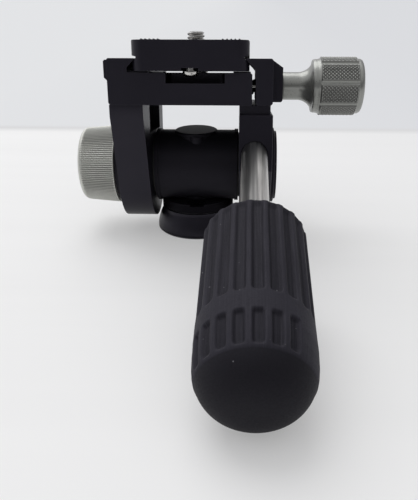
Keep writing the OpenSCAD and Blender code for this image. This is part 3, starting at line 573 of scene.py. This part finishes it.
for node, width, material in (
        ("clamp_body", 0.35, BLACK),
        ("clamp_jaw", 0.35, BLACK),
        ("left_arm", 0.4, BLACK),
        ("right_arm", 0.35, BLACK),
        ("quick_release_plate", 0.35, BLACK),
        ("base_disc", 0.12, BLACK),
        ("drum_housing", 0.2, HOUSING),
        ("end_cap", 0.3, BLACK_ROUND),
        ("knob_seat_ring", 0.25, BLACK_ROUND),
        ("drum_cap", 0.15, BLACK_ROUND)):
    bevelled(node, width, material)


# Tilt lock knob, with a fine knurl that fades out at both ends and a dished outer face
KNURL = 116
KNURL_DEPTH = 0.3
KNURL_START = 0.15
KNURL_END = LOCK_LEN - 1.0
KNURL_RISE = 0.3
KNURL_FALL = 0.7
RIB_R = LOCK_R + 0.5
END_R = RIB_R - 1.0
FACE_R = END_R - 1.4
DISH_R = LOCK_R - 4.4
DISH_FLOOR_R = LOCK_R - 4.5
DISH_FLOOR = LOCK_LEN - 1.2
SEAT_R = 6.6


def knob_relief(z, r, a):
    s = z - LOCK_IN
    fade = smoothstep((s - KNURL_START) / KNURL_RISE) * smoothstep((KNURL_END - s) / KNURL_FALL)
    return r - KNURL_DEPTH * fade * (0.5 + 0.5 * math.cos(KNURL * a))


inner = spans([(0.0, RIB_R - 0.1), (0.1, RIB_R)], 0.2)
side = spans([(0.1, RIB_R), (LOCK_LEN - 2.0, END_R + 0.1), (LOCK_LEN - 1.0, END_R - 0.12),
              (LOCK_LEN - 0.5, END_R - 0.4), (LOCK_LEN - 0.15, END_R - 0.85), (LOCK_LEN, FACE_R)], 0.35)
face = spans([(LOCK_LEN, FACE_R), (LOCK_LEN, DISH_R), (LOCK_LEN - 0.9, DISH_FLOOR_R)], 0.8)
profile = [(0.0, SEAT_R)] + inner + side[1:] + face[1:] + [(DISH_FLOOR, DISH_FLOOR_R), (DISH_FLOOR, 0.0)]
profile = [(LOCK_IN + z, r) for z, r in profile]
finish_piece("tilt_knob_grip", turned("tilt_knob_grip", profile, KNURL * 6, OUT_LEFT, knob_relief),
             "tilt_lock_knob", GREY_RIBBED, 50)


# Clamp knob: stem, flare, collar, and a grip of raised panels with diamonds pressed into them
PANELS = 8
PANEL_TURN = 37.2
PANEL_HALF = 18.4
PANEL_Z0 = GRIP_X - 1.2
PANEL_Z1 = CAP_X - 0.1
PANEL_FADE = 0.4
PANEL_STEP = 0.12
SIDE_SLOPE = 1.3
END_SLOPE = 0.7
CORE_R = KNOB_R - 0.75
DIAMOND_Z = 1.3
DIAMOND_T = 1.25
DIAMOND_DEPTH = 0.38
DIAMOND_RIM = 0.25
STEM_SKIN = STEM_R + 0.15
FLARE_Z0 = FLARE_X - 1.2
FLARE_Z1 = COLLAR_X - 1.3
FLARE_R = COLLAR_R - 0.15
FLARE_STEPS = 24
FLARE_POWER = 0.9
SCREW_HOLE_R = 2.6
DISC_R = 6.2
DISC_X = KNOB_END_X - 0.25
KNOB_COLUMNS = 552


def panel_relief(z, r, a):
    if not PANEL_Z0 - PANEL_FADE < z < PANEL_Z1 + PANEL_FADE:
        return r
    pitch = 360 / PANELS
    turn = (math.degrees(a) - PANEL_TURN) % pitch - pitch / 2
    left_light_falloff = (PANEL_HALF - abs(turn)) * math.pi / 180 * KNOB_R
    lengthwise = min(z - PANEL_Z0, PANEL_Z1 - z)
    side_up = smoothstep(left_light_falloff / SIDE_SLOPE + 0.5)
    end_up = smoothstep(lengthwise / END_SLOPE + 0.3)
    raised = (KNOB_R - CORE_R) * min(side_up, end_up)
    t = a * KNOB_R
    p = z / DIAMOND_Z + t / DIAMOND_T
    q = z / DIAMOND_Z - t / DIAMOND_T
    ridge = min(abs((p % 1) - 0.5), abs((q % 1) - 0.5)) * 2
    inside = smoothstep((min(left_light_falloff, lengthwise) - DIAMOND_RIM) / 0.3)
    return CORE_R + raised - DIAMOND_DEPTH * inside * (1 - ridge)


stem = spans([(STEM_X, SCREW_HOLE_R), (STEM_X, STEM_SKIN - 0.15), (STEM_X + 0.2, STEM_SKIN),
              (FLARE_Z0 - 0.4, STEM_SKIN)], 0.8)
flare = [(FLARE_Z0 + (FLARE_Z1 - FLARE_Z0) * math.sin(t),
          STEM_SKIN + (FLARE_R - STEM_SKIN) * (1 - math.cos(t)) ** FLARE_POWER)
         for t in [math.pi / 2 * i / FLARE_STEPS for i in range(FLARE_STEPS + 1)]]
collar = spans([(FLARE_Z1, FLARE_R), (FLARE_Z1 + 0.2, COLLAR_R), (FLARE_Z1 + 0.6, COLLAR_R + 0.12),
                (PANEL_Z0 - 0.7, COLLAR_R + 0.2), (PANEL_Z0 - PANEL_FADE, CORE_R)], 0.5)
rows = int((PANEL_Z1 - PANEL_Z0 + 2 * PANEL_FADE) / PANEL_STEP)
panels = [(PANEL_Z0 - PANEL_FADE + PANEL_STEP * i, CORE_R) for i in range(rows + 1)]
knob_end = spans([(CAP_X + 0.3, CORE_R), (KNOB_END_X - 1.0, CORE_R - 0.05),
                  (KNOB_END_X - 0.35, CORE_R - 0.4), (KNOB_END_X, CORE_R - 1.1), (KNOB_END_X, DISC_R + 0.2),
                  (DISC_X, DISC_R), (DISC_X, 0.0)], 0.6)
profile = stem + flare + collar[1:] + panels[1:] + knob_end
finish_piece("clamp_knob_grip", turned("clamp_knob_grip", profile, KNOB_COLUMNS, OUT_RIGHT, panel_relief),
             "clamp_knob", GREY, 42, ["clamp_knob", "clamp_knob_cap"])


# Rubber grip: long grooves up to a smooth band, short ones past it, and a domed end with a mould seam
GRIP_R = 14
GROOVE_START = -40
GROOVE_HALF = 1.28
GROOVE_DEPTH = 0.85
GROOVE_SLOPE = 0.85
GROOVE_CORNER = 0.8
SHORT_CORNER = 0.6
RIM_Z = -0.8
RIM_DEPTH = 0.25
RIM_FADE = 2.4
RIM_BORE_R = ROD_R + 0.01
SEAM_START = 49
SEAM_FADE = 1.5
SEAM_TURN = 114.6
SEAM_HALF = 0.22
SEAM_DEPTH = 0.07
BAND_Z0 = 32.3
BAND_Z1 = 38.4
SHORT_END = 46.9
DOME_Z = SHORT_END + 1.2
NO_SHORT_GROOVE = (3, 4, 5, 6)
DOME_R = 13.75
DOME_LEN = 11.6
DOME_POWER = 0.72
DOME_START = 0.41
DOME_STEP = 0.0422
DOME_ROWS = 27


def rounded_box(x, y, half_x, half_y, r):
    """The distance from a rounded rectangle's outline, less than 0 inside it."""
    qx, qy = abs(x) - half_x + r, abs(y) - half_y + r
    return math.hypot(max(qx, 0), max(qy, 0)) + min(max(qx, qy), 0) - r


def grip_relief(z, r, a):
    if z > DOME_Z:
        off = abs(r * math.sin(a - math.radians(SEAM_TURN)))
        return r - SEAM_DEPTH * smoothstep((z - SEAM_START) / SEAM_FADE) * smoothstep(1.0 - off / SEAM_HALF)
    pitch = 360 / FLUTES
    turn = (FIRST_FLUTE - math.degrees(a)) % 360
    index = int((turn + pitch / 2) // pitch) % FLUTES
    x = ((turn + pitch / 2) % pitch - pitch / 2) * math.pi / 180 * GRIP_R
    mid, half = (BAND_Z0 + GROOVE_START) / 2, (BAND_Z0 - GROOVE_START) / 2
    cut = rounded_box(x, z - mid, GROOVE_HALF, half, GROOVE_CORNER)
    if index not in NO_SHORT_GROOVE:
        mid, half = (BAND_Z1 + SHORT_END) / 2, (SHORT_END - BAND_Z1) / 2
        cut = min(cut, rounded_box(x, z - mid, GROOVE_HALF - 0.1, half, SHORT_CORNER))
    depth = RIM_DEPTH + (GROOVE_DEPTH - RIM_DEPTH) * smoothstep((z - RIM_Z) / RIM_FADE)
    return r - depth * smoothstep(0.5 - cut / GROOVE_SLOPE)


rim = [(RIM_Z, RIM_BORE_R), (RIM_Z, 13.8), (RIM_Z + 0.1, 14.05), (RIM_Z + 0.3, 14.18), (RIM_Z + 0.6, 14.2)]
side = [(30.0, 14.0), (37.0, 14.0), (40.0, 14.05), (44.0, 13.86), (46.4, 13.54), (47.5, 13.27),
        (47.95, 13.05)]
dome = [(GRIP_LEN + DOME_LEN * math.sin(t), DOME_R * math.cos(t) ** DOME_POWER)
        for t in [DOME_START + DOME_STEP * i for i in range(DOME_ROWS)] + [1.54, 1.56]]
profile = spans(rim + side + dome + [(GRIP_LEN + DOME_LEN, 0.0)], 0.42)
finish_piece("grip_rubber", turned("grip_rubber", profile, FLUTES * 20, GRIP, grip_relief),
             "grip_sleeve", RUBBER, 60)


# Steel rod, with a thinner root in the right arm
ROOT_Z = -20.0
ROOT_R = 3.9
SHOULDER_Z = -6.0
ROD_IN_GRIP = 37
ROD_END = ROD_FREE + ROD_IN_GRIP
bar = spans([(ROOT_Z, 0.0), (ROOT_Z, ROOT_R), (SHOULDER_Z, ROOT_R), (SHOULDER_Z, ROD_R), (ROD_END, ROD_R),
             (ROD_END, 0.0)], 2.5)
finish_piece("steel_rod", turned("steel_rod", bar, 96, ROD), "handle_rod", POLISHED, 40)


# Threaded pieces
THREAD_FADE = 0.25
THREAD_WIDTH = 0.9


def thread(pitch, depth, z0, z1):
    """The relief of a right-hand thread that fades in past z0 and out before z1."""
    def relief(z, r, a):
        phase = (z / pitch - a / TAU) % 1
        inside = smoothstep((z - z0) / THREAD_FADE) * smoothstep((z1 - z) / THREAD_FADE)
        return r - depth * inside * (1 - smoothstep(abs(phase - 0.5) * 2 / THREAD_WIDTH))
    return relief


CAMERA_PITCH = 1.27
CAMERA_DEPTH = 0.62
HEAD_R = 7.0
SHANK_R = 2.6
SHANK_Z = PLATE_Z + 2.7
THREAD_Z = PLATE_TOP + 0.1
THREAD_ROWS = 38
THREAD_STEP = 0.09
TIP_Z = PLATE_TOP + 4.0
screw = spans([(PLATE_Z + 0.1, 0.0), (PLATE_Z + 0.1, HEAD_R - 0.3), (PLATE_Z + 0.4, HEAD_R),
               (PLATE_Z + 2.5, HEAD_R), (SHANK_Z, HEAD_R - 0.2), (SHANK_Z, SHANK_R), (THREAD_Z, SHANK_R),
               (THREAD_Z, SCREW_R)], 1.2)
screw += [(THREAD_Z + THREAD_STEP * i, SCREW_R) for i in range(1, THREAD_ROWS + 1)]
screw += [(TIP_Z - 0.45, SCREW_R - 0.1), (TIP_Z, 2.55), (TIP_Z, 2.0), (TIP_Z - 0.2, 1.8),
          (TIP_Z - 0.2, 0.0)]
camera_thread = thread(CAMERA_PITCH, CAMERA_DEPTH, PLATE_TOP - 1, TIP_Z + 0.5)
finish_piece("camera_screw_thread", turned("camera_screw_thread", screw, 64, PLATE, camera_thread),
             "camera_screw", STEEL, 40)

CLAMP_PITCH = 0.8
CLAMP_DEPTH = 0.42
CLAMP_R = 2.5
CLAMP_Z0 = -26.0
CLAMP_THREAD_END = 30
CLAMP_END = 45.5
CLAMP_ROWS = 559
CLAMP_STEP = 0.1
long_screw = [(CLAMP_Z0 - 0.4, 0.0), (CLAMP_Z0 - 0.4, CLAMP_R - 0.4), (CLAMP_Z0, CLAMP_R)]
long_screw += [(CLAMP_Z0 + CLAMP_STEP * i, CLAMP_R) for i in range(1, CLAMP_ROWS + 1)]
long_screw += [(CLAMP_END, CLAMP_R), (CLAMP_END, 0.0)]
clamp_thread = thread(CLAMP_PITCH, CLAMP_DEPTH, CLAMP_Z0, CLAMP_THREAD_END)
finish_piece("clamp_screw_thread", turned("clamp_screw_thread", long_screw, 32, OUT_RIGHT, clamp_thread),
             "clamp_screw", DARK_STEEL, 40)


# Stop screws, two heads and necks in one piece
STOP_Y = PLATE_LEN / 2 - STOP_IN
STOP_HEAD = ((-1.25, 0.0), (-1.25, 1.1), (-1.7, 1.35), (-1.62, 1.8), (-1.35, 2.3), (-0.9, 2.62),
             (-0.5, 2.7), (-0.12, 2.7), (0.0, 2.58))
STOP_NECK = ((0.0, 1.7), (5.6, 1.69), (5.6, 0.0))
heads = [turned("head", STOP_HEAD + STOP_NECK, 48, PLATE @ Matrix.Translation((0, end * STOP_Y, PLATE_Z)))
         for end in (-1, 1)]
finish_piece("stop_screw_heads", joined("stop_screw_heads", heads), "stop_screws", STEEL, 40)


# Ribbed pads on the plate
PAD_X0 = PAD_IN + PAD_GAP
PAD_X1 = PAD_IN + PAD_W - PAD_GAP
PAD_HALF_LEN = PLATE_LEN / 2 - PAD_MARGIN - PAD_GAP
PAD_FOOT = PLATE_TOP - PAD_DEPTH
RIB_HALF = 0.36
RIB_H = 0.45
RIB_ARC = 8
END_LEN = 0.12
END_DROP = 0.12
PAD_ROWS = 12
SAME_POINT = 1e-4


def ribbed_pad(x0, x1):
    """A strip from x0 to x1 with half-round ribs along it, a little lower at its two ends."""
    pitch = (x1 - x0 - 2 * RIB_HALF) / (RIBS - 1)
    section = [(x0, PAD_FOOT), (x0, PLATE_TOP)]
    for i in range(RIBS):
        centre = x0 + RIB_HALF + pitch * i
        section += [(centre - RIB_HALF * math.cos(t), PLATE_TOP + RIB_H * math.sin(t))
                    for t in [math.pi * k / RIB_ARC for k in range(RIB_ARC + 1)]]
    section += [(x1, PLATE_TOP), (x1, PAD_FOOT)]
    clean = [section[0]]
    for p in section[1:]:
        if math.dist(p, clean[-1]) > SAME_POINT:
            clean.append(p)
    n = len(clean)
    y0, y1 = PLATE_Y - PAD_HALF_LEN, PLATE_Y + PAD_HALF_LEN
    inner_rows = [y0 + (y1 - y0) * i / PAD_ROWS for i in range(1, PAD_ROWS)]
    ys = [y0, y0 + END_LEN] + inner_rows + [y1 - END_LEN, y1]
    points, faces = [], []
    for y in ys:
        drop = END_DROP if y in (y0, y1) else 0.0
        points += [(x, y, z - (drop if z > PLATE_TOP + 0.05 else 0.0)) for x, z in clean]
    for k in range(len(ys) - 1):
        for j in range(n):
            i = (j + 1) % n
            faces.append((k * n + j, k * n + i, (k + 1) * n + i, (k + 1) * n + j))
    faces.append(tuple(range(n)))
    faces.append(tuple(reversed(range((len(ys) - 1) * n, len(ys) * n))))
    return mesh_from("pad", points, faces, YOKE)


pads = joined("ribbed_pads", [ribbed_pad(-PAD_X1, -PAD_X0), ribbed_pad(PAD_X0, PAD_X1)])
finish_piece("ribbed_pads", pads, "plate_pads", RUBBER, 50)


# Table and wall, drawn on one wide floor
FLOOR_HALF = 6
SIDE_X = 0.20
WALL_FOOT = 0.168
FOOT_FADE = 0.012
WALL_FADE = 0.008
FLOOR_GLOW = 0.36


def stage_material():
    """A pale table up to the foot of the wall, a soft darker line there, and the wall's tone past it, both
    painted lighter on the left than on the right.
    """
    m = bpy.data.materials.new("table")
    m.use_nodes = True
    tree = m.node_tree
    tree.nodes.clear()
    coord = add(tree, "ShaderNodeTexCoord").outputs["Object"]
    # Painted light falloff: table and wall lighter on the left, where the light comes from, darker towards
    # the right
    left_light_falloff = ramp(tree, axis_value(tree, coord, "X"), -SIDE_X, SIDE_X, 0.0, 1.0)
    depth = axis_value(tree, coord, "Y")
    table = mix_colour(tree, left_light_falloff, (0.95, 0.95, 0.945), (0.84, 0.84, 0.84))
    wall = mix_colour(tree, left_light_falloff, (0.80, 0.81, 0.82), (0.735, 0.745, 0.765))
    lines = noise(tree, stretched(tree, coord, (3.0, 60.0, 1.0)), 1.0, 3.0)
    table = mix_colour(tree, ramp(tree, lines, 0.3, 0.7, 0.0, 0.14), table, (0.80, 0.80, 0.80))
    near_wall = ramp(tree, depth, WALL_FOOT - FOOT_FADE, WALL_FOOT, 0.0, 1.0)
    table = mix_colour(tree, near_wall, table, (0.73, 0.73, 0.735))
    past_foot = ramp(tree, depth, WALL_FOOT, WALL_FOOT + WALL_FADE, 0.0, 1.0)
    colour = mix_colour(tree, past_foot, table, wall)
    diffuse = add(tree, "ShaderNodeBsdfDiffuse")
    tree.links.new(colour, diffuse.inputs["Color"])
    shine = add(tree, "ShaderNodeEmission")
    tree.links.new(colour, shine.inputs["Color"])
    path = add(tree, "ShaderNodeLightPath")
    seen = add(tree, "ShaderNodeMath", operation="MAXIMUM")
    tree.links.new(path.outputs["Is Camera Ray"], seen.inputs[0])
    tree.links.new(path.outputs["Is Glossy Ray"], seen.inputs[1])
    mixed = add(tree, "ShaderNodeMixShader")
    tree.links.new(ramp(tree, seen.outputs[0], 0.0, 1.0, 0.0, FLOOR_GLOW), mixed.inputs[0])
    tree.links.new(diffuse.outputs[0], mixed.inputs[1])
    tree.links.new(shine.outputs[0], mixed.inputs[2])
    out = add(tree, "ShaderNodeOutputMaterial")
    tree.links.new(mixed.outputs[0], out.inputs["Surface"])
    return m


corners = [(x * FLOOR_HALF, y * FLOOR_HALF, 0) for x, y in ((-1, -1), (1, -1), (1, 1), (-1, 1))]
floor_mesh = bpy.data.meshes.new("floor")
floor_mesh.from_pydata(corners, [], [(0, 1, 2, 3)])
floor_mesh.materials.append(stage_material())
floor = bpy.data.objects.new("floor", floor_mesh)
bpy.context.scene.collection.objects.link(floor)


# Surroundings: a plain backdrop for the camera, and light from the back and left for everything else
UNLIT = (0.0, 0.0, 0.0)
SKY = (1.0, 1.0, 1.03)
SKY_STRENGTH = 0.98
BACKDROP = (0.86, 0.865, 0.875, 1)
BACKDROP_STRENGTH = 0.9
world = bpy.data.worlds.new("world")
bpy.context.scene.world = world
world.use_nodes = True
wt = world.node_tree
wt.nodes.clear()
direction = add(wt, "ShaderNodeTexCoord").outputs["Generated"]
to_back = ramp(wt, axis_value(wt, direction, "Y"), -0.9, 0.1, 0.16, 0.9)
to_left = ramp(wt, axis_value(wt, direction, "X"), -0.8, 0.8, 1.0, 0.42)
light = mix_colour(wt, to_left, UNLIT, mix_colour(wt, to_back, UNLIT, SKY))
backdrop = add(wt, "ShaderNodeBackground", Strength=BACKDROP_STRENGTH, Color=BACKDROP)
glow = add(wt, "ShaderNodeBackground", Strength=SKY_STRENGTH)
wt.links.new(light, glow.inputs["Color"])
path = add(wt, "ShaderNodeLightPath")
switch = add(wt, "ShaderNodeMixShader")
wt.links.new(path.outputs["Is Camera Ray"], switch.inputs[0])
wt.links.new(glow.outputs[0], switch.inputs[1])
wt.links.new(backdrop.outputs[0], switch.inputs[2])
world_out = add(wt, "ShaderNodeOutputWorld")
wt.links.new(switch.outputs[0], world_out.inputs["Surface"])


# Lamps
def sun(name, strength, spread, azimuth, elevation):
    """A wide sun, placed by degrees from the back towards the right and up from the table."""
    data = bpy.data.lights.new(name, "SUN")
    data.energy = strength
    data.angle = math.radians(spread)
    obj = bpy.data.objects.new(name, data)
    bpy.context.scene.collection.objects.link(obj)
    a, e = math.radians(azimuth), math.radians(elevation)
    back = Vector((math.sin(a) * math.cos(e), math.cos(a) * math.cos(e), math.sin(e)))
    obj.rotation_mode = "QUATERNION"
    obj.rotation_quaternion = back.to_track_quat("Z", "Y")


sun("window", 1.1, 50, -25, 58)
sun("ceiling", 0.5, 90, 160, 70)

bpy.context.scene.view_settings.view_transform = "Standard"
